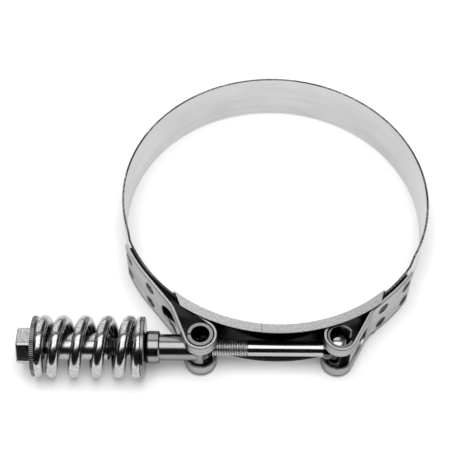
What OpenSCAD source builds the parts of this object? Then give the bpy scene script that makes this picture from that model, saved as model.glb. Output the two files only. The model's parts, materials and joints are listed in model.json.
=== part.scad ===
// Spring loaded T bolt hose clamp.
// Origin on the ring axis at half the band width, Z along the ring axis,
// X along the bolt towards its head. Millimetres.

/* [Ring] */
// Inside diameter of the closed ring
bore_d = 116.5; // [100:0.5:140]
// Width of the band and of the straps
band_w = 20; // [19:0.5:24]
// Thickness of the band
band_t = 0.8; // [0.6:0.1:1]
// Thickness of the bridge
bridge_t = 0.6; // [0.5:0.1:0.8]
// Radial width of the bridge flanges
flange_w = 3.5; // [3.4:0.1:4.5]
// Clearance beside the band inside the bridge
side_gap = 0.15; // [0.1:0.05:0.3]

/* [Straps] */
// Thickness of the loop straps
strap_t = 0.85; // [0.7:0.05:0.9]
// Width of the inner ply of a strap
inner_ply_w = 16; // [15:0.5:17]
// Inside radius of the strap loops
loop_ri = 5.1; // [5.05:0.05:5.3]
// Width of the slot through a loop
slot_w = 9.9; // [9.8:0.1:10.4]
// Distance between the two loop axes
loop_span = 50.2; // [49:0.2:53]
// Offset of the loops from the ring's middle, towards the bolt head
loop_shift = -2.7; // [-3.5:0.1:-2]
// Angle of the free end of the nut strap
nut_strap_angle = 67; // [65:0.5:71]
// Angle of the free end of the head strap
head_strap_angle = 55; // [54:0.5:60]
// Angle at which the nut strap leaves the ring
nut_bend_angle = 52.5; // [50:0.5:55]
// Angle at which the head strap leaves the ring
head_bend_angle = 43; // [41:0.5:45]
// Radius of the nut strap's outward bend
nut_bend_r = 12; // [8:1:16]
// Radius of the head strap's outward bend
head_bend_r = 12; // [8:1:16]
// Length of the flat before the bend of the nut strap
nut_flat = 15; // [13:0.5:16]
// Length of the flat before the bend of the head strap
head_flat = 8; // [6:0.5:10]

/* [Bolt] */
// Outside diameter of the thread
thread_d = 6.2; // [6:0.05:6.3]
// Diameter of the plain shank
shank_d = 5.8; // [5.5:0.1:6]
// Clearance between shank and bridge
web_gap = 0.3; // [0.3:0.05:1]
// Diameter of the cross bar head
head_d = 6; // [5.6:0.1:6.2]
// Length of the cross bar head
head_len = 14; // [12:0.5:17]
// Lead of the thread
thread_pitch = 0.907; // [0.8:0.001:1]

/* [Trunnion and sleeve] */
// Outside diameter of the trunnion
trunnion_d = 9.2; // [9:0.1:9.4]
// Wall of the trunnion
trunnion_wall = 1.2; // [1:0.1:1.4]
// Outside diameter of the sleeve tube
sleeve_d = 9.5; // [9.3:0.1:9.5]
// Diameter of the sleeve collar
collar_d = 11.7; // [11:0.1:13]
// Length of the sleeve collar
collar_len = 5.2; // [4:0.2:7]
// Distance from the trunnion axis to the collar
sleeve_len = 14.8; // [13:0.2:18]

/* [Spring and nut] */
// Outside diameter of the spring
spring_d = 22.8; // [21:0.2:24]
// Diameter of the spring wire
wire_d = 4.4; // [4:0.1:4.5]
// Length of the spring between the washers
spring_len = 37.5; // [37:0.5:44]
// Diameter of both washers
washer_d = 22; // [21:0.2:23]
// Thickness of both washers
washer_t = 1.5; // [1.4:0.1:2]
// Width across the flats of the nut
hex_af = 12.7; // [12.5:0.1:13.2]
// Length of the hexagon
hex_len = 5.6; // [5:0.1:8]
// Turn of the hexagon's flats from level
hex_turn = 54; // [0:1:59]
// Diameter of the nut's barrel
barrel_d = 9.8; // [9.2:0.1:10.4]
// Gap left between barrel and sleeve washer, the nut's travel
nut_travel = 11.4; // [11:0.1:12.5]

/* [Hidden] */
$fn = 96;

bore_r = bore_d / 2;
lap = 0.05;
weld = 0.02;
face = 0.03;
run = 0.05;

// radii of the layers at the front, from inside out
wing_r = bore_r + bridge_t + lap;
inner_r = wing_r + band_t + weld;
outer_r = inner_r + strap_t + weld;
skin_r = outer_r + strap_t;
bridge_h = band_w + 2 * side_gap + 2 * bridge_t;

// loop axes and bolt axis
// the bolt lies clear of the bridge, and the loops clear of the band
nut_x = loop_shift - loop_span / 2;
head_x = loop_shift + loop_span / 2;
loop_ro = loop_ri + strap_t;
near_x = min(-nut_x, head_x);
reach_r = inner_r + loop_ro + 0.1;
bolt_y = -max(bore_r + bridge_t + shank_d / 2 + web_gap, sqrt(reach_r * reach_r - near_x * near_x));
slot_r = slot_w / 2;

// head bush and the head that bears on it
bush_ro = loop_ri - 0.4;
bush_ri = bush_ro - 0.75;
bar_x = head_x - (bush_ri - head_d / 2 - 0.1);

// stations along the bolt, from the trunnion outwards
saddle_r = trunnion_d / 2 + run;
collar_x = nut_x - sleeve_len;
sleeve_x = collar_x - collar_len;
washer1_x = sleeve_x - face;
spring_x1 = washer1_x - washer_t - face;
spring_x0 = spring_x1 - spring_len;
washer2_x = spring_x0 - face;
hex_x = washer2_x - washer_t - face;
barrel_end_x = washer1_x - washer_t - nut_travel;
thread_x = bar_x - 32.4;
bolt_end_x = barrel_end_x - 11;
bolt_bore = 2 * run + thread_d;

// bearing sizes of the ring: where the wings leave the round part
kink_nut = nut_strap_angle + 1;
kink_head = head_strap_angle + 1.5;
lift = acos(bore_r / wing_r);
nut_tip = 33;
head_tip = 28;

// angles of the weld dents, from a strap's free end and from where it leaves the band
weld_edge = 3;
nut_weld_step = -2.5;
head_weld_step = -3.5;

function u(a) = [sin(a), -cos(a)];
function at(r, a) = r * u(a);
function dir(a) = [cos(a), sin(a)];

// wedge from angle a0 to a1 about a point, angles counted as in dir
module wedge(a0, a1, r, h) {
    n = ceil((a1 - a0) / 40);
    s = (a1 - a0) / n;
    far = 1.3 * r;
    linear_extrude(height = h, center = true)
        polygon(concat([[0, 0]], [for (i = [0:n]) far * dir(a0 + i * s)]));
}

// part of a tube about a point
module arc_wall(c, r0, r1, h, a0, a1) {
    translate([c[0], c[1], 0])
        intersection() {
            difference() {
                cylinder(r = r1, h = h, center = true);
                cylinder(r = r0, h = h + 1, center = true);
            }
            wedge(a0, a1, r1, h + 2);
        }
}

// part of a tube about the ring axis, angles counted from the front
module ring_wall(r0, r1, h, a0, a1) {
    arc_wall([0, 0], r0, r1, h, a0 - 90, a1 - 90);
}

// flat wall through four corners
module flat_wall(p, h) {
    linear_extrude(height = h, center = true) polygon(p);
}

// filled outline of a wing on the side of positive X, out to radius r
module wing_fill(r, base, kink, tip, h) {
    n = ceil(kink - tip);
    linear_extrude(height = h, center = true)
        polygon(concat([[0, 0]], [for (i = [0:n]) at(r, tip + (kink - tip) * i / n)],
                       [at(base - 0.3, kink + lift + 2)]));
}

// band: round at the back, with two wings that ride up over the bridge
module band() {
    color([0.80, 0.80, 0.79]) difference() {
        union() {
            cylinder(r = bore_r + band_t, h = band_w, center = true);
            wing_fill(wing_r + band_t, bore_r + band_t, kink_head, head_tip - 1, band_w);
            mirror([1, 0, 0])
                wing_fill(wing_r + band_t, bore_r + band_t, kink_nut, nut_tip - 1, band_w);
        }
        cylinder(r = bore_r, h = band_w + 1, center = true);
        wing_fill(wing_r, bore_r, kink_head, head_tip - 2, band_w + 1);
        mirror([1, 0, 0]) wing_fill(wing_r, bore_r, kink_nut, nut_tip - 2, band_w + 1);
        wedge(-nut_tip - 90, head_tip - 90, 1.1 * bore_r, band_w + 1);
    }
}

// outline that cuts the flanges off at a slant
module flange_cut(h) {
    l0 = at(bore_r, -40);
    l1 = at(bore_r + flange_w, -34.8);
    r0 = at(bore_r, 42);
    r1 = at(bore_r + flange_w, 37.4);
    linear_extrude(height = h, center = true)
        polygon([l0 - 2 * (l1 - l0), l1 + 2 * (l1 - l0), at(1.4 * bore_r, -12),
                 at(1.4 * bore_r, 14), r1 + 2 * (r1 - r0), r0 - 2 * (r1 - r0)]);
}

module bridge() {
    color([0.78, 0.78, 0.76]) union() {
        ring_wall(bore_r, bore_r + bridge_t, bridge_h, -40, 42);
        for (s = [-1, 1])
            translate([0, 0, s * (bridge_h - bridge_t) / 2])
                intersection() {
                    difference() {
                        cylinder(r = bore_r + flange_w, h = bridge_t, center = true);
                        cylinder(r = bore_r, h = bridge_t + 1, center = true);
                    }
                    flange_cut(bridge_t + 1);
                }
    }
}

// shallow dent left by a spot weld
module weld_dent(a, z) {
    p = at(skin_r + 3.7, a);
    translate([p[0], p[1], z]) sphere(r = 4);
}

// points along an arc of n steps about c, angles counted as in dir
function arc(c, r, a0, a1, n) = [for (i = [0:n]) c + r * dir(a0 + (a1 - a0) * i / n)];

// strap on the side of positive X: two plies on the band, one slotted loop;
// an early slot starts on the flat, any other on the stretch behind the bend
module strap(loop_x, end, bend, flat, bend_r, early, weld_a, weld_b) {
    l = [loop_x, bolt_y];
    o = [0, 0];
    lean = atan2(loop_x, -bolt_y) + acos((inner_r + loop_ro) / norm(l));
    q = l - loop_ro * u(lean);
    p = at(inner_r, lean);
    p1 = at(skin_r, bend) - flat * dir(bend);
    b = p1 + bend_r * u(bend);
    bl = l - b;
    n_a = (atan2(bl[1], bl[0]) + 360) % 360 - acos((bend_r + loop_ro) / norm(bl));
    n = dir(n_a);
    t0 = b + bend_r * n;
    t1 = l - loop_ro * n;
    slot_a = early ? bend + 90 : n_a;
    slot_n = dir(slot_a);
    slot_o = early ? p1 : t0 + (slot_r + 0.4) * (t1 - t0) / norm(t1 - t0);
    n_o = ceil(end - bend);
    n_i = ceil(end - 1 - lean);
    // skin face from the free end round the loop to the end of the inner ply
    skin = concat(arc(o, skin_r, end - 90, bend - 90, n_o),
                  arc(b, bend_r, bend + 90, n_a, 8),
                  arc(l, loop_ro, n_a + 180, lean + 90, 48),
                  arc(o, inner_r, lean - 90, end - 91, n_i));
    // inside face, the other way
    back = concat(arc(o, inner_r + strap_t, end - 91, lean - 90, n_i),
                  arc(l, loop_ri, lean + 90, n_a + 180, 48),
                  arc(b, bend_r + strap_t, n_a, bend + 90, 8),
                  arc(o, outer_r, bend - 90, end - 90, n_o));
    d = (p - q) / norm(p - q);
    cut = q + min(7, norm(p - q) / 2 + 1) * d;
    difference() {
        flat_wall(concat(skin, back), band_w);
        // slot, round at its start
        translate([slot_o[0], slot_o[1], 0])
            rotate([0, 90, slot_a])
                cylinder(r = slot_r - 0.04, h = 2.4, center = true);
        flat_wall(concat([slot_o + 1.3 * slot_n, slot_o - 1.1 * slot_n],
                         arc(l, 1.25 * loop_ro, n_a + 180, lean + 90, 6),
                         [q + 1.5 * d - u(lean), q + 1.5 * d + 1.5 * u(lean)]), slot_w);
        // the inner ply is narrower than the outer one
        for (s = [-1, 1])
            translate([0, 0, s * (band_w + inner_ply_w) / 4 + s])
                flat_wall(concat([cut - u(lean), cut + 1.2 * u(lean)],
                                 arc(o, inner_r + strap_t + weld / 2, lean - 90, end - 88, n_i),
                                 [at(inner_r - 1, end + 2), at(inner_r - 1, lean)]),
                          (band_w - inner_ply_w) / 2 + 2);
        for (a = [weld_a, weld_b])
            for (z = [-0.28, 0.2])
                weld_dent(a, z * band_w);
    }
}

module nut_loop() {
    color([0.76, 0.76, 0.75])
        mirror([1, 0, 0])
            strap(-nut_x, nut_strap_angle, nut_bend_angle, nut_flat, nut_bend_r, true,
                  nut_strap_angle - weld_edge, nut_bend_angle + nut_weld_step);
}

module head_loop() {
    color([0.76, 0.76, 0.75])
        strap(head_x, head_strap_angle, head_bend_angle, head_flat, head_bend_r, false,
              head_strap_angle - weld_edge, head_bend_angle + head_weld_step);
}

// rolled tube with a seam, cross drilled, wider on the side of the thread
module trunnion() {
    color([0.74, 0.74, 0.73])
        translate([nut_x, bolt_y, 0])
            difference() {
                cylinder(d = trunnion_d, h = band_w, center = true);
                cylinder(d = trunnion_d - 2 * trunnion_wall, h = band_w + 1, center = true);
                rotate([0, 90, 0]) cylinder(d = thread_d + 0.8, h = 20, center = true);
                rotate([0, 90, 0]) cylinder(d = trunnion_d - 0.1, h = 10);
                translate([-trunnion_d / 2, 0, 0])
                    cube([4, 0.6, band_w + 1], center = true);
            }
}

// rolled liner, open on the side away from the shank
module head_bush() {
    color([0.55, 0.55, 0.55])
        difference() {
            arc_wall([head_x, bolt_y], bush_ri, bush_ro, band_w - 1, 27, 333);
            translate([head_x - 6, bolt_y, 0]) cube([12, 20, 8.6], center = true);
        }
}

// turned profile along X: pairs of station and radius
module turned(p) {
    translate([0, bolt_y, 0])
        rotate([90, 0, 90])
            rotate_extrude()
                polygon(p);
}

module t_bolt() {
    hr = head_d / 2;
    tr = thread_d / 2;
    sr = shank_d / 2;
    neck = 3.9;
    color([0.85, 0.85, 0.85]) union() {
        translate([bar_x, bolt_y, 0])
            rotate_extrude()
                polygon([[0, -head_len / 2], [hr - 0.7, -head_len / 2],
                         [hr, -head_len / 2 + 0.7], [hr, head_len / 2 - 0.7],
                         [hr - 0.7, head_len / 2], [0, head_len / 2]]);
        turned([[0, bolt_end_x], [tr - 0.6, bolt_end_x], [tr, bolt_end_x + 0.6],
                [tr, thread_x], [sr, thread_x + 0.5], [sr, bar_x - 5.6],
                [neck, bar_x - 4], [neck, bar_x - 2.6], [sr, bar_x - 1], [0, bar_x - 1]]);
    }
}

module sleeve() {
    or = collar_d / 2;
    sr = sleeve_d / 2;
    ir = thread_d / 2 + 0.2;
    color([0.72, 0.72, 0.72])
        difference() {
            turned([[ir, sleeve_x], [or - 1, sleeve_x], [or - 0.3, sleeve_x + 0.3],
                    [or, sleeve_x + 1], [or, collar_x - 0.4], [or - 0.4, collar_x],
                    [sr, collar_x], [sr, nut_x - 1.1], [ir, nut_x - 1.1]]);
            translate([nut_x, bolt_y, 0])
                cylinder(r = saddle_r, h = 20, center = true);
        }
}

// flat washer from station x leftwards
module flat_washer(x, bore) {
    c = 0.25;
    r = washer_d / 2;
    turned([[bore / 2, x - washer_t], [r - c, x - washer_t], [r, x - washer_t + c],
            [r, x - c], [r - c, x], [bore / 2, x]]);
}

module sleeve_washer() {
    color([0.66, 0.66, 0.66]) flat_washer(washer1_x, thread_d + 0.5);
}

module nut_washer() {
    color([0.66, 0.66, 0.66]) flat_washer(washer2_x, barrel_d + 0.12);
}

// advance of the coil in turns: close at both ends, open between
turns = 5.5;
nut_seat = 0.25;
sleeve_seat = -0.65;
close_p = wire_d + 0.06;
function ramp(t, a, b) = t <= a ? 0 : t >= b ? t - (a + b) / 2 : (t - a) * (t - a) / (2 * (b - a));
function open_t(t) = ramp(t, 0.7, 1.1) - ramp(t, turns - 1.1, turns - 0.7);
open_p = (spring_len - nut_seat - sleeve_seat - turns * close_p) / open_t(turns);
function coil_x(t) = spring_x0 + nut_seat + close_p * t + open_p * open_t(t);
function ground(x) = max(spring_x0, min(spring_x1, x));

// round wire swept along the coil, left-hand, its end turns ground flat
module coil(rm, rw, steps, sides, start) {
    pts = [for (i = [0:steps]) for (j = [0:sides - 1])
        let (t = turns * i / steps, a = start - 360 * t, b = 360 * j / sides,
             r = rm + rw * cos(b))
        [ground(coil_x(t) + rw * sin(b)), bolt_y + r * cos(a), r * sin(a)]];
    walls = [for (i = [0:steps - 1]) for (j = [0:sides - 1]) for (k = [0, 1])
        let (a = i * sides + j, b = i * sides + (j + 1) % sides, c = a + sides, d = b + sides)
        k == 0 ? [a, b, d] : [a, d, c]];
    ends = [[for (j = [0:sides - 1]) sides - 1 - j], [for (j = [0:sides - 1]) steps * sides + j]];
    polyhedron(points = pts, faces = concat(walls, ends), convexity = 10);
}

module spring() {
    color([0.82, 0.82, 0.83])
        coil((spring_d - wire_d) / 2, wire_d / 2, 165, 16, 213);
}

module barrel_nut() {
    hr = hex_af / 2 / cos(30);
    br = barrel_d / 2;
    color([0.70, 0.70, 0.70])
        difference() {
            union() {
                translate([hex_x - hex_len, bolt_y, 0])
                    intersection() {
                        rotate([hex_turn, 0, 0]) rotate([0, 90, 0]) rotate([0, 0, 30])
                            cylinder(r = hr, h = hex_len, $fn = 6);
                        rotate([0, 90, 0]) cylinder(r1 = hex_af / 2 - 0.2, r2 = hex_af / 2 + 8, h = 14);
                    }
                turned([[0, hex_x - 1], [br, hex_x - 1], [br, barrel_end_x - 0.5],
                        [br - 0.5, barrel_end_x], [0, barrel_end_x]]);
            }
            translate([hex_x - hex_len - 1, bolt_y, 0])
                rotate([0, 90, 0]) cylinder(d = bolt_bore, h = 60);
        }
}

band();
bridge();
nut_loop();
head_loop();
trunnion();
head_bush();
t_bolt();
sleeve();
sleeve_washer();
spring();
nut_washer();
barrel_nut();
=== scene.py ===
import json
import math

import bpy
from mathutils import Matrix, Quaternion, Vector


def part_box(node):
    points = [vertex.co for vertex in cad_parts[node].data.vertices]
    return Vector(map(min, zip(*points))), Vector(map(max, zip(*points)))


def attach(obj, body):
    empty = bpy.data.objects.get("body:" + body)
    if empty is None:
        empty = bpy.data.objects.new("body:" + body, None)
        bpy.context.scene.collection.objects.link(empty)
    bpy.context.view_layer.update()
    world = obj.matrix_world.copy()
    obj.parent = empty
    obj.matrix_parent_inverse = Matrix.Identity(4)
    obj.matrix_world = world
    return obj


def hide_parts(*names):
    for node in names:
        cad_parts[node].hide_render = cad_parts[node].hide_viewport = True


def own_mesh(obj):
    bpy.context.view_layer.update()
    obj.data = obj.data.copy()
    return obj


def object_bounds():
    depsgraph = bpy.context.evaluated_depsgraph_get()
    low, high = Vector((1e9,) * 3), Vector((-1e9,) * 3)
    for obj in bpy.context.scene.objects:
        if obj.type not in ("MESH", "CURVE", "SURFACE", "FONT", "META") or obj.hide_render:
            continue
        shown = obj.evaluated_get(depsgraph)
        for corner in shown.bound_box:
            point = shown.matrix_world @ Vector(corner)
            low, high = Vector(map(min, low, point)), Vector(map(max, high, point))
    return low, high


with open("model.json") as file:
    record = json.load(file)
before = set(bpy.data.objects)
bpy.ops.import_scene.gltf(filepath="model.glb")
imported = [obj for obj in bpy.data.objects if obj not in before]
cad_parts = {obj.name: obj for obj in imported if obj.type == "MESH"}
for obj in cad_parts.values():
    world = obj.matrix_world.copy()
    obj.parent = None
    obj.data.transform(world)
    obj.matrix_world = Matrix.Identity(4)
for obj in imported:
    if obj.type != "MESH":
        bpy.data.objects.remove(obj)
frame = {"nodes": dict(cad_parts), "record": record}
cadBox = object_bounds()
nodes = frame["nodes"]
record = frame["record"]
mm = 0.001
print("frame loaded:", len(nodes), "nodes")

# places that the patterns and new pieces share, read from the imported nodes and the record
boreRadius = record["mounts"][0]["dims"]["r_mm"] * mm
jointPlaces = {joint["name"]: joint.get("pos_m") for joint in record["behaviour"]["joints"]}
headX = jointPlaces["bolt_swing"][0]
trunnionX = jointPlaces["trunnion_pivot"][0]
bandLow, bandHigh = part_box("band")
bandWide = bandHigh.z - bandLow.z
boltLow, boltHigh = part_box("t_bolt")
springLow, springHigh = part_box("spring")
washerLow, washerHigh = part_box("nut_washer")
boltY = (washerLow.y + washerHigh.y) / 2


# one output socket: sums on it add Math nodes, any other node comes from node()
class Socket:
    def __init__(self, tree, link=None):
        self.tree = tree
        self.link = link

    def node(self, kind, settings=None, sockets=None, out=0):
        made = self.tree.nodes.new(kind)
        for name, value in (settings or {}).items():
            setattr(made, name, value)
        for name, value in (sockets or {}).items():
            if isinstance(value, Socket):
                self.tree.links.new(value.link, made.inputs[name])
            else:
                made.inputs[name].default_value = value
        return Socket(self.tree, made.outputs[out] if made.outputs else None)

    def maths(self, operation, first, second=0.0):
        return self.node("ShaderNodeMath", {"operation": operation}, {0: first, 1: second})

    def __add__(self, other):
        return self.maths("ADD", self, other)

    def __radd__(self, other):
        return self.maths("ADD", other, self)

    def __sub__(self, other):
        return self.maths("SUBTRACT", self, other)

    def __rsub__(self, other):
        return self.maths("SUBTRACT", other, self)

    def __mul__(self, other):
        return self.maths("MULTIPLY", self, other)

    def __rmul__(self, other):
        return self.maths("MULTIPLY", other, self)

    def __truediv__(self, other):
        return self.maths("DIVIDE", self, other)

    def __abs__(self):
        return self.maths("ABSOLUTE", self)

    def most(self, other):
        return self.maths("MAXIMUM", self, other)

    # 0 below low, 1 above high, smooth between
    def rise(self, low, high):
        return self.node("ShaderNodeMapRange", {"interpolation_type": "SMOOTHSTEP"},
                         {"Value": self, "From Min": low, "From Max": high})

    # up over one pair of limits and down again over another
    def within(self, upward, downward):
        return self.rise(*upward) * (1 - self.rise(*downward))

    # blend of two values by this one
    def between(self, low, high):
        return low + self * (high - low)

    # a noise about its middle, times a size
    def sway(self, size):
        return size * (self - 0.5)

    def parts(self):
        return [self.node("ShaderNodeSeparateXYZ", None, {"Vector": self}, axis)
                for axis in ("X", "Y", "Z")]

    def grey(self):
        return self.node("ShaderNodeCombineColor", None, {0: self, 1: self, 2: self})

    # noise in metres: grain gives the number of grains to the metre, for all axes or for each
    def noise(self, grain, detail=3):
        if not hasattr(grain, "__len__"):
            grain = (grain,) * 3
        where = self.node("ShaderNodeMapping", None, {"Vector": self, "Scale": grain})
        return self.node("ShaderNodeTexNoise", None,
                         {"Vector": where, "Scale": 1.0, "Detail": detail, "Roughness": 0.55})

    # how far the surface faces along a vector
    def facing(self, along):
        normal = self.node("ShaderNodeNewGeometry", None, None, "Normal")
        return self.node("ShaderNodeVectorMath", {"operation": "DOT_PRODUCT"},
                         {0: normal, 1: along}, "Value")

    # distance from a point, with each axis weighed
    def away(self, point, weigh=(1, 1, 1)):
        near = self.node("ShaderNodeVectorMath", {"operation": "SUBTRACT"}, {0: self, 1: point})
        near = self.node("ShaderNodeVectorMath", {"operation": "MULTIPLY"}, {0: near, 1: weigh})
        return self.node("ShaderNodeVectorMath", {"operation": "LENGTH"}, {0: near}, "Value")


# distances from the ring's axis, from the bolt's axis and from the axis of a loop
def fromRing(place):
    return place.away((0, 0, 0), (1, 1, 0))


def fromBolt(place):
    return place.away((0, boltY, 0), (0, 1, 1))


def fromLoop(place, loopX):
    return place.away((loopX, boltY, 0), (1, 1, 0))


# how far forward a place is, as a share of the ring's radius
def forward(place):
    return place.parts()[1] / -boreRadius


# 1 on faces that look straight up or down: cut edges, rims and flanges
def onFlat(up):
    return up.rise(0.6, 0.9)


def plainGrey(value):
    return (value, value, value, 1)


def newMaterial(name):
    made = bpy.data.materials.new(name)
    made.use_nodes = True
    made.node_tree.nodes.clear()
    return made, Socket(made.node_tree)


# a steel: paint takes the place and how far a face looks up or down, and returns
# tone, roughness and the height of the relief; edge is the radius of its broken edges,
# and rimTint how strongly it mirrors at a glancing angle
def steel(name, paint, edge, rimTint=1.0):
    made, start = newMaterial(name)
    place = start.node("ShaderNodeTexCoord", None, None, "Object")
    up = abs(start.node("ShaderNodeNewGeometry", None, None, "Normal").parts()[2])
    tone, rough, relief = paint(place, up)
    soft = start.node("ShaderNodeBevel", {"samples": 4}, {"Radius": edge})
    normal = start.node("ShaderNodeBump", None,
                        {"Strength": 1.0, "Distance": 1.0, "Height": relief, "Normal": soft})
    shader = start.node("ShaderNodeBsdfPrincipled", None,
                        {"Base Color": tone.grey(), "Metallic": 1.0, "Roughness": rough,
                         "Specular Tint": plainGrey(rimTint), "Normal": normal})
    start.node("ShaderNodeOutputMaterial", None, {"Surface": shader})
    return made


# rolled strip of the ring, sheared along its edges; here and below, a pair of limits is where
# a mask starts and where it is full
# the band's hollow tone is painted shade in the hollows beside the loops
bandLook = {"face": 0.59, "clouds": 0.26, "grain": 0.07, "rolled": 0.12,
            "cloudGrain": (26, 26, 60), "fineGrain": (70, 70, 2600), "rolledGrain": (16, 16, 520),
            "shearTones": (0.07, 0.40), "dashGrain": (1500, 1500, 10), "dashes": (0.46, 0.60),
            "patchGrain": (45, 45, 5), "patches": (0.42, 0.58),
            "hollowShade": 0.05, "hollowShadeFrom": (0.60, 0.66), "outside": (0.3 * boreRadius, 0.5 * boreRadius),
            "roughness": 0.30, "roughClouds": 0.10, "roughShear": 0.08,
            "relief": 0.003 * mm, "edge": 0.10 * mm}


def bandPaint(place, up):
    look = bandLook
    shear = onFlat(up)
    clouds = place.noise(look["cloudGrain"], 4)
    grain = place.noise(look["fineGrain"])
    rolled = place.noise(look["rolledGrain"], 2)
    dashes = place.noise(look["dashGrain"], 2).rise(*look["dashes"])
    dashes = dashes * place.noise(look["patchGrain"], 2).rise(*look["patches"])
    face = look["face"] + clouds.sway(look["clouds"]) + grain.sway(look["grain"])
    face = face + rolled.sway(look["rolled"])
    # painted shade: the outside is darkened in the hollows beside the loops
    outside = place.facing(place).rise(*look["outside"])
    face = (outside * forward(place).rise(*look["hollowShadeFrom"])).between(face, look["hollowShade"])
    tone = shear.between(face, dashes.between(*look["shearTones"]))
    rough = look["roughness"] + clouds.sway(look["roughClouds"]) + look["roughShear"] * shear
    return tone, rough, grain * look["relief"]


# the bridge: speckled flanges, a polished web whose outside is painted near black as painted shade, and a
# fine scribed line
# the web tone is painted shade
bridgeLook = {"flange": 0.54, "speckle": 0.62, "speckleGrain": 1500, "flangeRough": 0.36,
              "webShade": 0.05, "webClouds": 0.04, "cloudGrain": 60, "webRough": 0.22, "rimTint": 0.35,
              "scribeX": -5.9 * mm, "scribeHalf": (0.064 * mm, 0.16 * mm), "scribeDark": 0.35,
              "boreSkin": (boreRadius + 0.15 * mm, boreRadius + 0.4 * mm),
              "flangeRelief": 0.010 * mm, "webRelief": 0.002 * mm, "edge": 0.10 * mm}


def bridgePaint(place, up):
    look = bridgeLook
    flat = onFlat(up)
    inside = 1 - fromRing(place).rise(*look["boreSkin"])
    speckle = place.noise(look["speckleGrain"])
    grain = place.noise(bandLook["fineGrain"])
    clouds = place.noise(look["cloudGrain"])
    scribe = 1 - abs(place.parts()[0] - look["scribeX"]).rise(*look["scribeHalf"])
    flange = look["flange"] + speckle.sway(look["speckle"]) - look["scribeDark"] * scribe
    # painted shade: the web's outside is near black, and its bore side takes the band's tone
    webShade = inside.between(look["webShade"] + clouds.sway(look["webClouds"]), bandLook["face"])
    tone = flat.between(webShade, flange)
    rough = flat.most(inside).between(look["webRough"], look["flangeRough"])
    relief = flat * speckle * look["flangeRelief"] + (1 - flat) * grain * look["webRelief"]
    return tone, rough, relief


# straps: satin strip with dark spot welds; shares are of the band's width from its middle
# painted shade: the inner ply's edge, the hollow and the loops take darker tones; the dark border along
# the rims is a painted reflection
strapLook = {"face": 0.62, "clouds": 0.16, "grain": 0.14, "rolled": 0.45,
             "cloudGrain": 45, "fineGrain": (90, 90, 2200), "rolledGrain": (30, 30, 650),
             "gritGrain": 1300, "relief": 0.002 * mm, "edge": 0.34 * mm, "rimTint": 0.55,
             "roughness": 0.30, "roughClouds": 0.08, "roughWeld": 0.15,
             "shear": 0.52, "shearGrit": 0.35,
             "innerPlyShade": 0.03, "innerFrom": (0.32, 0.34), "innerTo": (0.43, 0.45),
             "edgeReflection": 0.12, "edgeReflectionShares": (0.448, 0.472), "edgeReflectionDepth": 0.85,
             "loopShade": 0.70, "loopReach": (6.2 * mm, 7.7 * mm),
             "loopX": {"nut_loop": trunnionX, "head_loop": headX},
             "hollowShade": 0.04, "hollowShadeSkin": (boreRadius + 2.59 * mm, boreRadius + 2.89 * mm),
             "hollowShadeSteps": {"nut_loop": (((0.75, 0.78), 0.9 * mm), ((0.87, 0.90), 1.2 * mm)),
                             "head_loop": (((0.87, 0.90), 0.9 * mm),)}}

# spot welds: angles from the front of the ring, smudged tones, and a painted shade ring round each dent
weldLook = {"angles": {"nut_loop": (-64.0, -50.0), "head_loop": (52.0, 39.5)},
            "shares": (-0.28, 0.20), "skin": boreRadius + 3.19 * mm, "radius": 2.5 * mm,
            "tones": {"nut_loop": (0.06, 0.34), "head_loop": (0.03, 0.14)},
            "spot": (0.85, 1.12), "dentShadeFrom": (0.50, 0.85), "dentShadeTo": (0.92, 1.15),
            "ring": 0.03, "dentShadeShare": 0.9,
            "smudgeGrain": (420, 420, 700), "smudges": (0.40, 0.66), "relief": 0.04 * mm}


def weldCentres(strap):
    look = weldLook
    for degrees in look["angles"][strap]:
        turn = math.radians(degrees)
        for share in look["shares"]:
            yield look["skin"] * math.sin(turn), -look["skin"] * math.cos(turn), share * bandWide


# masks of a strap's welds and of the painted shade rings round them
def weldMasks(strap, place):
    look = weldLook
    weld, ring = 0, 0
    for centre in weldCentres(strap):
        away = place.away(centre) / look["radius"]
        weld = (1 - away.rise(*look["spot"])).most(weld)
        ring = away.within(look["dentShadeFrom"], look["dentShadeTo"]).most(ring)
    return weld, ring


# mask of the painted shade on the inner ply, which lies in the hollow beside the loop
def hollowShadeMask(strap, place):
    look = strapLook
    reach = fromRing(place)
    for limits, step in look["hollowShadeSteps"][strap]:
        reach = reach - forward(place).rise(*limits) * step
    return 1 - reach.rise(*look["hollowShadeSkin"])


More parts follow.
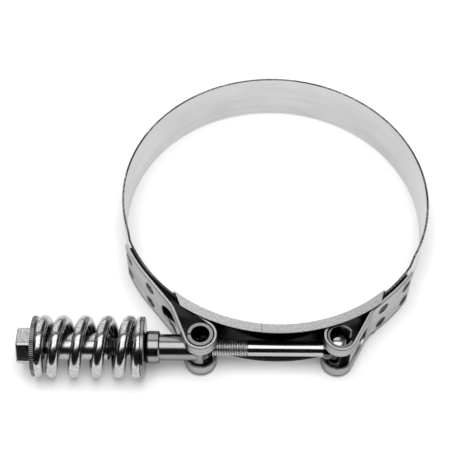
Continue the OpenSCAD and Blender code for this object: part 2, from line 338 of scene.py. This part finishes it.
def strapPaint(strap):
    look = strapLook

    def paint(place, up):
        clouds = place.noise(look["cloudGrain"])
        grain = place.noise(look["fineGrain"])
        rolled = place.noise(look["rolledGrain"], 2)
        grit = place.noise(look["gritGrain"])
        share = abs(place.parts()[2]) / bandWide
        face = look["face"] + clouds.sway(look["clouds"]) + grain.sway(look["grain"])
        face = face + rolled.sway(look["rolled"])
        # painted shade: the loops are a little darker than the flats, and a painted dark reflection runs
        # along the rims
        loopShadeMask = 1 - fromLoop(place, look["loopX"][strap]).rise(*look["loopReach"])
        face = face * loopShadeMask.between(1, look["loopShade"])
        edgeReflection = share.rise(*look["edgeReflectionShares"]) * look["edgeReflectionDepth"]
        face = edgeReflection.between(face, look["edgeReflection"])
        # painted shade on the inner ply in the hollow
        face = hollowShadeMask(strap, place).between(face, look["hollowShade"])
        # painted shade in the crevice along the inner ply's edge
        innerPlyShadeMask = share.within(look["innerFrom"], look["innerTo"])
        edge = innerPlyShadeMask.between(look["shear"] + grit.sway(look["shearGrit"]), look["innerPlyShade"])
        tone = onFlat(up).between(face, edge)
        # a weld is smudged along the strap, and where it is dark it has a painted shade ring round the
        # dent
        weld, ring = weldMasks(strap, place)
        smudge = place.noise(weldLook["smudgeGrain"]).rise(*weldLook["smudges"])
        tone = weld.between(tone, smudge.between(*weldLook["tones"][strap]))
        tone = (ring * (1 - smudge) * weldLook["dentShadeShare"]).between(tone, weldLook["ring"])
        rough = look["roughness"] + clouds.sway(look["roughClouds"]) + look["roughWeld"] * weld
        return tone, rough, grain * look["relief"] + weld * grit * weldLook["relief"]

    return paint


# drawn and turned steel: fine lines along the bolt or round it, and a little grit
turnedLook = {"cloudGrain": 120, "gritGrain": 1400, "roughClouds": 0.10}


def turnedPaint(look):
    def paint(place, up):
        clouds = place.noise(turnedLook["cloudGrain"])
        lines = place.noise(look["lines"])
        grit = place.noise(turnedLook["gritGrain"])
        tone = look["tone"] + clouds.sway(look["clouds"]) + grit.sway(look["grit"])
        rough = look["roughness"] + clouds.sway(turnedLook["roughClouds"])
        relief = lines * look["lineDepth"] + grit * look["gritDepth"]
        return tone, rough, relief

    return paint


# the bolt: painted shade in the roots of its thread, in the coil, in the trunnion and in the head loop,
# and a painted highlight on the crests of its thread
def boltPaint(look):
    plain = turnedPaint(look)

    def paint(place, up):
        tone, rough, relief = plain(place, up)
        x, _, z = place.parts()
        threaded = 1 - x.rise(*look["threadTo"])
        # painted shade in the thread's roots, in the trunnion, in the head loop and in the coil, and a
        # painted highlight on the crests
        root = 1 - fromBolt(place).rise(*look["threadRadii"])
        hiddenShade = 1 - abs(x - trunnionX).rise(*look["hiddenReach"])
        loopShadeMask = x.rise(*look["loopFrom"]) * (1 - abs(z).rise(*look["loopHalf"]))
        tone = loopShadeMask.between(tone, look["loopShadeTone"])
        tone = threaded.between(tone, root.between(look["crestHighlightTone"], look["rootShadeTone"]))
        tone = x.rise(*look["coilTo"]).between(look["coilShade"] * tone, tone)
        rough = threaded.between(rough, look["threadRough"])
        return hiddenShade.between(tone, look["hiddenShadeTone"]), rough, relief

    return paint


# the sleeve: painted shade where the trunnion hides it, and a painted dark reflection of the washer at
# its end
def sleevePaint(look):
    plain = turnedPaint(look)

    def paint(place, up):
        tone, rough, relief = plain(place, up)
        x = place.parts()[0]
        # painted shade under the trunnion, and a painted reflection of the washer at the end
        hiddenShade = x.rise(*look["hiddenFrom"]) * (1 - fromBolt(place).rise(*look["skinRadii"]))
        endShade = 1 - x.rise(*look["endTo"])
        tone = endShade.between(tone, look["endShadeTone"])
        return hiddenShade.between(tone, look["hiddenShadeTone"]), rough, relief

    return paint


# the coil: painted shade on its inner side
def coilPaint(look):
    plain = turnedPaint(look)

    def paint(place, up):
        tone, rough, relief = plain(place, up)
        # painted shade on the coil's inner side
        inside = 1 - fromBolt(place).rise(*look["innerRadii"])
        return inside.between(tone, look["innerShadeTone"]), rough, relief

    return paint


# rolled tubes: painted shade inside, and where the far side shows in the slot of the loop
def tubePaint(look):
    plain = turnedPaint(look)

    def paint(place, up):
        tone, rough, relief = plain(place, up)
        x, _, z = place.parts()
        # painted shade in the bore and in the slot
        inside = (1 - fromLoop(place, look["axisX"]).rise(*look["boreRadii"])) * (1 - onFlat(up))
        slotShade = (1 - abs(z).rise(*look["slotHalf"])) * (x - look["axisX"]).rise(*look["farSide"])
        return inside.most(slotShade).between(tone, look["boreShadeTone"]), rough, relief

    return paint


# the nut's stamped washer, with painted shade between the teeth of its rim; limits are in depths of a
# tooth
washerLook = {"tone": 0.33, "grit": 0.25, "gritGrain": 1200, "rootShadeTone": 0.08,
              "roughness": 0.24, "roughGrit": 0.15, "relief": 0.004 * mm, "edge": 0.12 * mm,
              "teeth": 96, "toothDepth": 0.10 * mm, "rimRadius": (washerHigh.z - washerLow.z) / 2,
              "rimFrom": (1.5, 1.0), "crestFrom": (0.7, 0.0), "smoothAngle": 20}


def washerPaint(place, up):
    look = washerLook

    def radii(limits):
        return [look["rimRadius"] - depths * look["toothDepth"] for depths in look[limits]]

    # painted shade between the teeth of the rim
    rootShade = fromBolt(place).within(radii("rimFrom"), radii("crestFrom"))
    grit = place.noise(look["gritGrain"])
    tone = rootShade.between(look["tone"] + grit.sway(look["grit"]), look["rootShadeTone"])
    return tone, look["roughness"] + grit.sway(look["roughGrit"]), grit * look["relief"]


# in these finishes the bore, hidden, end, inner, root, coil and loop tones are painted shade, and the
# crest tone is a painted highlight
finishes = {
    "trunnion": {"tone": 0.33, "clouds": 0.08, "grit": 0.12, "roughness": 0.30, "edge": 0.15 * mm,
                 "lines": (300, 300, 60), "lineDepth": 0.004 * mm, "gritDepth": 0.006 * mm,
                 "paint": tubePaint, "axisX": trunnionX, "boreRadii": (3.46 * mm, 3.70 * mm),
                 "boreShadeTone": 0.012, "slotHalf": (4.7 * mm, 5.0 * mm),
                 "farSide": (0.6 * mm, 1.2 * mm), "rimTint": 0.5},
    "head_bush": {"tone": 0.24, "clouds": 0.04, "grit": 0.10, "roughness": 0.32, "edge": 0.12 * mm,
                  "lines": (300, 300, 60), "lineDepth": 0.004 * mm, "gritDepth": 0.006 * mm,
                  "paint": tubePaint, "axisX": headX, "boreRadii": (4.01 * mm, 4.25 * mm),
                  "boreShadeTone": 0.015, "slotHalf": (4.7 * mm, 5.0 * mm),
                  "farSide": (0.6 * mm, 1.2 * mm), "rimTint": 0.4},
    "t_bolt": {"tone": 0.48, "clouds": 0.06, "grit": 0.06, "roughness": 0.15, "edge": 0.12 * mm,
               "lines": (90, 2600, 2600), "lineDepth": 0.002 * mm, "gritDepth": 0.002 * mm,
               "paint": boltPaint, "threadTo": (boltHigh.x - 35.4 * mm, boltHigh.x - 35.3 * mm),
               "threadRadii": (2.63 * mm, 3.05 * mm), "crestHighlightTone": 0.72, "rootShadeTone": 0.40,
               "threadRough": 0.34, "hiddenReach": (4.1 * mm, 4.5 * mm), "hiddenShadeTone": 0.02,
               "coilTo": (springHigh.x - 0.3 * mm, springHigh.x), "coilShade": 0.25,
               "loopFrom": (boltHigh.x - 8.2 * mm, boltHigh.x - 7.9 * mm),
               "loopHalf": (4.4 * mm, 5.0 * mm), "loopShadeTone": 0.10},
    "sleeve": {"tone": 0.30, "clouds": 0.10, "grit": 0.06, "roughness": 0.19, "edge": 0.20 * mm,
               "lines": (2600, 120, 120), "lineDepth": 0.002 * mm, "gritDepth": 0.002 * mm,
               "paint": sleevePaint, "hiddenFrom": (trunnionX - 4.6 * mm, trunnionX - 4.3 * mm),
               "skinRadii": (4.55 * mm, 4.67 * mm), "hiddenShadeTone": 0.012,
               "endTo": (springHigh.x + 2.4 * mm, springHigh.x + 3.2 * mm), "endShadeTone": 0.04,
               "rimTint": 0.3},
    "spring": {"tone": 0.48, "clouds": 0.16, "grit": 1.0, "roughness": 0.18, "edge": 0.10 * mm,
               "lines": (400, 400, 400), "lineDepth": 0.001 * mm, "gritDepth": 0.003 * mm,
               "paint": coilPaint, "innerRadii": (7.9 * mm, 9.2 * mm), "innerShadeTone": 0.06},
    "sleeve_washer": {"tone": 0.24, "clouds": 0.10, "grit": 0.25, "roughness": 0.24, "edge": 0.12 * mm,
                      "lines": (400, 400, 400), "lineDepth": 0.002 * mm, "gritDepth": 0.004 * mm},
    "barrel_nut": {"tone": 0.42, "clouds": 0.12, "grit": 0.75, "roughness": 0.22, "edge": 0.12 * mm,
                   "lines": (900, 300, 300), "lineDepth": 0.004 * mm, "gritDepth": 0.008 * mm},
}
steels = {name: steel(name + "Steel", look.get("paint", turnedPaint)(look), look["edge"],
                      look.get("rimTint", 1.0))
          for name, look in finishes.items()}
steels.update(band=steel("bandSteel", bandPaint, bandLook["edge"]),
              bridge=steel("bridgeSteel", bridgePaint, bridgeLook["edge"], bridgeLook["rimTint"]),
              nut_loop=steel("nutStrapSteel", strapPaint("nut_loop"), strapLook["edge"],
                             strapLook["rimTint"]),
              head_loop=steel("headStrapSteel", strapPaint("head_loop"), strapLook["edge"],
                              strapLook["rimTint"]),
              nut_washer=steel("washerSteel", washerPaint, washerLook["edge"]))
for name, piece in nodes.items():
    piece.data.materials.clear()
    piece.data.materials.append(steels[name])
print("steels:", len(steels))


def clearSelection():
    bpy.ops.object.select_all(action="DESELECT")


def selectOnly(piece):
    clearSelection()
    piece.select_set(True)
    bpy.context.view_layer.objects.active = piece


def finishPiece(piece, name, node, body, smoothAngle):
    selectOnly(piece)
    bpy.ops.object.shade_smooth_by_angle(angle=math.radians(smoothAngle))
    piece.name = name
    piece.data.materials.clear()
    piece.data.materials.append(steels[node])
    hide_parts(node)
    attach(piece, body)


# in edit mode: all faces point outwards
def faceOutwards():
    bpy.ops.mesh.select_all(action="SELECT")
    bpy.ops.mesh.normals_make_consistent(inside=False)


# a round solid along the bolt, pushed out of one disc station by station
def turnedSolid(stations, sides):
    clearSelection()
    x, radius = stations[0]
    bpy.ops.mesh.primitive_circle_add(vertices=sides, radius=radius, fill_type="NGON",
                                      location=(x, boltY, 0), rotation=(0, math.pi / 2, 0))
    bpy.ops.object.transform_apply()
    bpy.ops.object.mode_set(mode="EDIT")
    bpy.ops.mesh.select_all(action="SELECT")
    for nextX, nextRadius in stations[1:]:
        bpy.ops.mesh.extrude_region_move(TRANSFORM_OT_translate={"value": (nextX - x, 0, 0)})
        share = nextRadius / radius
        bpy.ops.transform.resize(value=(1, share, share), center_override=(nextX, boltY, 0))
        x, radius = nextX, nextRadius
    faceOutwards()
    bpy.ops.object.mode_set(mode="OBJECT")
    return bpy.context.object


# the bolt: plain shank, coned neck, cross bar head and a cut thread
boltLook = {"pitch": 0.907 * mm, "threadRadius": 3.1 * mm, "threadDepth": 0.52 * mm,
            "threadFromBar": 32.4 * mm, "threadEnds": (0.8 * mm, 0.2 * mm), "threadSteps": 24,
            "footShare": 0.94, "crestShare": 0.14, "footSink": 0.06 * mm,
            "runOut": 0.3 * mm, "endChamfer": 0.4 * mm, "shankRadius": 2.9 * mm,
            "neckRadius": 3.9 * mm, "neckFromBar": (5.6 * mm, 4.0 * mm, 2.6 * mm, 1.0 * mm),
            "barRadius": 3.0 * mm, "domeRise": 1.3 * mm, "domeSteps": 12, "sides": 48,
            "smoothAngle": 35}


# the thread's ridge, wound on the root
def addThread(firstX, lastX):
    look = boltLook
    clearSelection()
    crest = look["threadRadius"]
    root = crest - look["threadDepth"]
    foot = look["footShare"] * look["pitch"] / 2
    top = look["crestShare"] * look["pitch"] / 2
    outline = ((-foot, root - look["footSink"]), (-top, crest), (top, crest),
               (foot, root - look["footSink"]))
    bpy.ops.mesh.primitive_circle_add(vertices=len(outline), radius=root, location=(firstX, boltY, 0))
    ridge = bpy.context.object
    for corner, (along, out) in zip(ridge.data.vertices, outline):
        corner.co = (along, out, 0)
    screw = ridge.modifiers.new("thread", "SCREW")
    screw.axis = "X"
    screw.screw_offset = look["pitch"]
    screw.iterations = int((lastX - firstX) / look["pitch"])
    screw.steps = screw.render_steps = look["threadSteps"]
    bpy.ops.object.modifier_apply(modifier="thread")
    bpy.ops.object.transform_apply()
    bpy.ops.object.mode_set(mode="EDIT")
    bpy.ops.mesh.select_all(action="SELECT")
    bpy.ops.mesh.fill_holes(sides=0)
    faceOutwards()
    bpy.ops.object.mode_set(mode="OBJECT")
    return ridge


# the cross bar with domed ends, turned along the bolt and then stood up
def addBar(barX):
    look = boltLook
    foot = (boltHigh.z - boltLow.z) / 2 - look["domeRise"]
    turns = [math.radians(90 * step / look["domeSteps"]) for step in range(look["domeSteps"])]
    dome = [(foot + look["domeRise"] * math.sin(turn), look["barRadius"] * math.cos(turn))
            for turn in turns]
    stations = [(-x, radius) for x, radius in reversed(dome)] + dome
    bar = turnedSolid(stations, look["sides"])
    bar.rotation_euler = (0, -math.pi / 2, 0)
    bar.location = (barX, 0, 0)
    bpy.ops.object.transform_apply()
    return bar


def addBolt():
    look = boltLook
    barX = boltHigh.x - look["barRadius"]
    threadX = barX - look["threadFromBar"]
    root = look["threadRadius"] - look["threadDepth"]
    shank = look["shankRadius"]
    neck = [barX - back for back in look["neckFromBar"]]
    chamfer = look["endChamfer"]
    stations = [(boltLow.x, root - chamfer), (boltLow.x + chamfer, root), (threadX, root),
                (threadX + look["runOut"], shank), (neck[0], shank), (neck[1], look["neckRadius"]),
                (neck[2], look["neckRadius"]), (neck[3], shank)]
    body = turnedSolid(stations, look["sides"])
    endGap, shankGap = look["threadEnds"]
    ridge = addThread(boltLow.x + endGap, threadX - shankGap)
    bar = addBar(barX)
    selectOnly(body)
    for each in (ridge, bar):
        each.select_set(True)
    bpy.ops.object.join()
    finishPiece(body, "cutThreadBolt", "t_bolt", "bolt", look["smoothAngle"])


addBolt()
print("bolt cut")


# distances of a node's points from the bolt's axis, with their places
def reaches(node):
    return [(math.hypot(corner.co.y - boltY, corner.co.z), corner.co)
            for corner in nodes[node].data.vertices]


def boreOf(node):
    return min(reach for reach, place in reaches(node))


# the nut: a hexagon with rounded edges on a barrel, drilled through
nutLook = {"edgeRound": 0.85 * mm, "edgeSteps": 4, "endRound": 0.75 * mm, "endSteps": 3,
           "barrelChamfer": 0.5 * mm, "sides": 64, "seatGap": 0.03 * mm, "overlap": 1 * mm,
           "slack": 0.01 * mm, "smoothAngle": 30}


def addHexagon(endX, seatX):
    look = nutLook

    def alongBolt(a, b):
        return abs(a.x - b.x) > look["slack"]

    def atEnd(a, b):
        return max(a.x, b.x) < endX + look["slack"]

    corner, place = max(((reach, place) for reach, place in reaches("barrel_nut") if place.x < seatX),
                        key=lambda each: each[0])
    clearSelection()
    bpy.ops.mesh.primitive_cylinder_add(vertices=6, radius=corner, depth=seatX - endX,
                                        rotation=(0, math.pi / 2, 0))
    bpy.ops.object.transform_apply()
    hexagon = bpy.context.object
    hexagon.rotation_euler = (math.atan2(place.z, place.y - boltY), 0, 0)
    hexagon.location = ((endX + seatX) / 2, boltY, 0)
    bpy.ops.object.transform_apply()
    for test, size, steps in ((alongBolt, look["edgeRound"], look["edgeSteps"]),
                              (atEnd, look["endRound"], look["endSteps"])):
        bpy.ops.object.mode_set(mode="EDIT")
        bpy.ops.mesh.select_mode(type="EDGE")
        bpy.ops.mesh.select_all(action="DESELECT")
        bpy.ops.object.mode_set(mode="OBJECT")
        corners = hexagon.data.vertices
        for edge in hexagon.data.edges:
            edge.select = test(*(corners[number].co for number in edge.vertices))
        bpy.ops.object.mode_set(mode="EDIT")
        bpy.ops.mesh.bevel(offset=size, segments=steps, affect="EDGES")
        bpy.ops.object.mode_set(mode="OBJECT")
    return hexagon


def combine(piece, other, operation):
    selectOnly(piece)
    change = piece.modifiers.new(operation, "BOOLEAN")
    change.operation = operation
    change.solver = "EXACT"
    change.object = other
    bpy.ops.object.modifier_apply(modifier=operation)
    bpy.data.objects.remove(other)


def addNut():
    look = nutLook
    low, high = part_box("barrel_nut")
    bore = boreOf("barrel_nut")
    barrel = max(reach for reach, place in reaches("barrel_nut") if place.x > washerHigh.x)
    seatX = washerLow.x - look["seatGap"]
    nut = addHexagon(low.x, seatX)
    overlap, chamfer = look["overlap"], look["barrelChamfer"]
    combine(nut, turnedSolid([(seatX - overlap, barrel), (high.x - chamfer, barrel),
                              (high.x, barrel - chamfer)], look["sides"]), "UNION")
    combine(nut, turnedSolid([(low.x - overlap, bore), (high.x + overlap, bore)], look["sides"]),
            "DIFFERENCE")
    finishPiece(nut, "roundedNut", "barrel_nut", "barrel_nut", look["smoothAngle"])


addNut()
print("nut cut")


# the nut's washer: a ring with every other point of its rim drawn in, given its thickness
def addWasher():
    look = washerLook
    bore = boreOf("nut_washer")
    middle = (washerLow.x, boltY, 0)
    clearSelection()
    bpy.ops.mesh.primitive_circle_add(vertices=2 * look["teeth"], radius=look["rimRadius"],
                                      location=middle, rotation=(0, math.pi / 2, 0))
    bpy.ops.object.transform_apply()
    washer = bpy.context.object
    bpy.ops.object.mode_set(mode="EDIT")
    bpy.ops.mesh.select_all(action="SELECT")
    bpy.ops.mesh.extrude_region_move()
    inward = bore / look["rimRadius"]
    bpy.ops.transform.resize(value=(1, inward, inward), center_override=middle)
    bpy.ops.mesh.select_mode(type="VERT")
    bpy.ops.mesh.select_all(action="DESELECT")
    bpy.ops.object.mode_set(mode="OBJECT")
    for number, corner in enumerate(washer.data.vertices):
        reach = math.hypot(corner.co.y - boltY, corner.co.z)
        corner.select = reach > (bore + look["rimRadius"]) / 2 and number % 2 == 0
    bpy.ops.object.mode_set(mode="EDIT")
    root = 1 - look["toothDepth"] / look["rimRadius"]
    bpy.ops.transform.resize(value=(1, root, root), center_override=middle)
    bpy.ops.mesh.select_all(action="SELECT")
    thick = washerHigh.x - washerLow.x
    bpy.ops.mesh.extrude_region_move(TRANSFORM_OT_translate={"value": (thick, 0, 0)})
    faceOutwards()
    bpy.ops.object.mode_set(mode="OBJECT")
    finishPiece(washer, "toothedNutWasher", "nut_washer", "nut_washer", look["smoothAngle"])


addWasher()
print("washer cut")


# the spring: a round wire on a coil with close, ground end turns; a seat is how far its
# middle line starts or stops inside the ground end, and solidShare its length when pressed
springLook = {"wire": 4.4 * mm, "across": 22.8 * mm, "turns": 5.5, "startAngle": 213,
              "nutSeat": 0.25 * mm, "sleeveSeat": -0.65 * mm, "closeGap": 0.06 * mm,
              "rampFrom": 0.7, "rampTo": 1.1, "solidShare": 0.7098,
              "stepsPerTurn": 96, "wireSides": 9, "mergeGap": 0.0005 * mm, "smoothAngle": 40}


# turns that have passed at turn t, when they start to count between low and high
def ramp(t, low, high):
    if t <= low:
        return 0
    if t >= high:
        return t - (low + high) / 2
    return (t - low) ** 2 / (2 * (high - low))


# turns of open pitch that have passed at turn t
def openTurns(t):
    low, high, total = (springLook[name] for name in ("rampFrom", "rampTo", "turns"))
    return ramp(t, low, high) - ramp(t, total - high, total - low)


def addSpring():
    look = springLook
    radius = (look["across"] - look["wire"]) / 2
    close = look["wire"] + look["closeGap"]
    length = springHigh.x - springLow.x - look["nutSeat"] - look["sleeveSeat"]
    openPitch = (length - look["turns"] * close) / openTurns(look["turns"])
    count = int(look["turns"] * look["stepsPerTurn"])
    line = bpy.data.curves.new("wire", "CURVE")
    line.dimensions = "3D"
    line.bevel_depth = look["wire"] / 2
    line.bevel_resolution = look["wireSides"]
    line.use_fill_caps = True
    path = line.splines.new("POLY")
    path.points.add(count)
    for step, point in enumerate(path.points):
        t = look["turns"] * step / count
        turn = math.radians(look["startAngle"] - 360 * t)
        x = springLow.x + look["nutSeat"] + close * t + openPitch * openTurns(t)
        point.co = (x, boltY + radius * math.cos(turn), radius * math.sin(turn), 1)
    coil = bpy.data.objects.new("wire", line)
    bpy.context.collection.objects.link(coil)
    selectOnly(coil)
    bpy.ops.object.convert(target="MESH")
    coil = bpy.context.object
    bpy.ops.object.mode_set(mode="EDIT")
    for x, facing in ((springLow.x, -1), (springHigh.x, 1)):
        bpy.ops.mesh.select_all(action="SELECT")
        bpy.ops.mesh.bisect(plane_co=(x, 0, 0), plane_no=(facing, 0, 0), use_fill=True,
                            clear_outer=True)
    bpy.ops.mesh.select_all(action="SELECT")
    bpy.ops.mesh.remove_doubles(threshold=look["mergeGap"])
    faceOutwards()
    bpy.ops.object.mode_set(mode="OBJECT")
    finishPiece(coil, "groundSpring", "spring", "bolt", look["smoothAngle"])
    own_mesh(coil)


addSpring()
print("spring wound")


# the photograph's camera
cameraLook = {"target": (-19.3 * mm, -7.9 * mm, 0), "elevation": 55.38, "distance": 457 * mm,
              "roll": 0.52, "focalPixels": 1174, "imagePixels": 450, "sensor": 36.0,
              "clipStart": 10 * mm}


def addCamera():
    look = cameraLook
    rise = math.radians(look["elevation"])
    back = Vector((0, -math.cos(rise), math.sin(rise)))
    bpy.ops.object.camera_add(location=Vector(look["target"]) + back * look["distance"])
    camera = bpy.context.object
    camera.rotation_mode = "QUATERNION"
    level = (-back).to_track_quat("-Z", "Y")
    camera.rotation_quaternion = level @ Quaternion((0, 0, 1), math.radians(look["roll"]))
    camera.data.sensor_width = look["sensor"]
    camera.data.lens = look["focalPixels"] / look["imagePixels"] * look["sensor"]
    camera.data.clip_start = look["clipStart"]
    bpy.context.scene.camera = camera


addCamera()
print("camera placed")

# pale floor, and a soft lamp and a white world that light it
studio = {"floorTone": 0.92, "floorGlow": 0.10, "floorSize": 6.0, "floorFade": (0.2, 0.55),
          "floorGap": 0.01 * mm, "lampSize": 0.5, "lampPower": 5.0, "lampPlace": (-0.03, -0.14, 0.8),
          "fill": 0.66}


# 1 for the rays that show the background: straight, mirrored or let through
def seenRays(start):
    seen = 0
    for ray in ("Is Camera Ray", "Is Glossy Ray", "Is Transmission Ray"):
        seen = start.node("ShaderNodeLightPath", None, None, ray).most(seen)
    return seen


def addWorld():
    world = bpy.data.worlds.new("studioWorld")
    bpy.context.scene.world = world
    world.use_nodes = True
    world.node_tree.nodes.clear()
    start = Socket(world.node_tree)
    white, fill = (start.node("ShaderNodeBackground", None, {"Color": plainGrey(1), "Strength": strength})
                   for strength in (1.0, studio["fill"]))
    both = start.node("ShaderNodeMixShader", None, {0: seenRays(start), 1: fill, 2: white})
    start.node("ShaderNodeOutputWorld", None, {"Surface": both})


def addLamp():
    bpy.ops.object.light_add(type="AREA", location=studio["lampPlace"])
    lamp = bpy.context.object
    lamp.data.size = studio["lampSize"]
    lamp.data.energy = studio["lampPower"]
    lamp.visible_glossy = False


def floorMaterial():
    made, start = newMaterial("paleFloor")
    matt = start.node("ShaderNodeBsdfDiffuse", None, {"Color": plainGrey(studio["floorTone"])})
    glow = start.node("ShaderNodeEmission", None, {"Color": plainGrey(1), "Strength": 1.0})
    # far off it fades to the white of the background
    place = start.node("ShaderNodeTexCoord", None, None, "Object")
    far = place.away((0, 0, 0)).rise(*studio["floorFade"])
    far = far * start.node("ShaderNodeLightPath", None, None, "Is Camera Ray")
    share = far.between(seenRays(start) * studio["floorGlow"], 1)
    both = start.node("ShaderNodeMixShader", None, {0: share, 1: matt, 2: glow})
    start.node("ShaderNodeOutputMaterial", None, {"Surface": both})
    return made


def addFloor():
    clearSelection()
    bpy.ops.mesh.primitive_plane_add(size=studio["floorSize"],
                                     location=(0, 0, cadBox[0].z - studio["floorGap"]))
    floor = bpy.context.object
    floor.name = "floor"
    floor.data.materials.append(floorMaterial())


# what the metal mirrors: a tent that is light behind, and dark low in front, at both sides and
# along the horizon; a darker strip parts its back from a bright panel overhead, and limits are
# shares of its radius
tentLook = {"radius": 1.2, "segments": 64, "rings": 32,
            "frontTone": 0.012, "backTone": 1.25, "gapTone": 0.16, "sideTone": 0.06, "panelTone": 2.2,
            "back": (-0.12, 0.10), "top": (0.74, 0.82), "horizon": (0.02, 0.16),
            "rightSide": (0.12, 0.42), "leftSide": (0.70, 0.92),
            "gapFrom": (0.12, 0.18), "gapTo": (0.33, 0.41),
            "panelFrom": (-0.60, -0.50), "panelTo": (0.08, 0.16), "panelHalf": (0.46, 0.66)}


def tentMaterial():
    look = tentLook
    made, start = newMaterial("studioTent")
    place = start.node("ShaderNodeTexCoord", None, None, "Object")
    x, y, z = (part / look["radius"] for part in place.parts())
    above = z.rise(*look["horizon"])
    front = (1 - y.rise(*look["back"])) * (1 - z.rise(*look["top"]))
    side = x.rise(*look["rightSide"]).most((x * -1).rise(*look["leftSide"]))
    light = side.between(look["backTone"], look["sideTone"])
    light = y.within(look["gapFrom"], look["gapTo"]).between(light, look["gapTone"])
    tone = ((1 - front) * above).between(look["frontTone"], light)
    panel = y.within(look["panelFrom"], look["panelTo"]) * (1 - abs(x).rise(*look["panelHalf"]))
    tone = (panel * above).between(tone, look["panelTone"])
    shader = start.node("ShaderNodeEmission", None, {"Color": tone.grey(), "Strength": 1.0})
    start.node("ShaderNodeOutputMaterial", None, {"Surface": shader})
    return made


def showOnlyInMetal(piece, name, material):
    piece.name = name
    piece.data.materials.append(material)
    piece.visible_camera = False
    piece.visible_diffuse = False
    piece.visible_shadow = False


def addTent():
    look = tentLook
    clearSelection()
    bpy.ops.mesh.primitive_uv_sphere_add(segments=look["segments"], ring_count=look["rings"],
                                         radius=look["radius"])
    showOnlyInMetal(bpy.context.object, "studioTent", tentMaterial())


# a dark card on the floor in front
cardLook = {"tone": 0.03, "fromBolt": 80 * mm, "deep": 0.9, "wide": 1.6, "lift": 0.05 * mm}


def cardMaterial():
    made, start = newMaterial("darkCard")
    shader = start.node("ShaderNodeEmission", None,
                        {"Color": plainGrey(cardLook["tone"]), "Strength": 1.0})
    start.node("ShaderNodeOutputMaterial", None, {"Surface": shader})
    return made


def addCard():
    look = cardLook
    clearSelection()
    middle = boltY - look["fromBolt"] - look["deep"] / 2
    bpy.ops.mesh.primitive_plane_add(size=1, location=(0, middle, cadBox[0].z + look["lift"]))
    card = bpy.context.object
    card.scale = (look["wide"], look["deep"], 1)
    showOnlyInMetal(card, "darkCard", cardMaterial())


bpy.context.scene.view_settings.view_transform = "Standard"
addWorld()
addLamp()
addFloor()
addTent()
addCard()
print("studio ready")
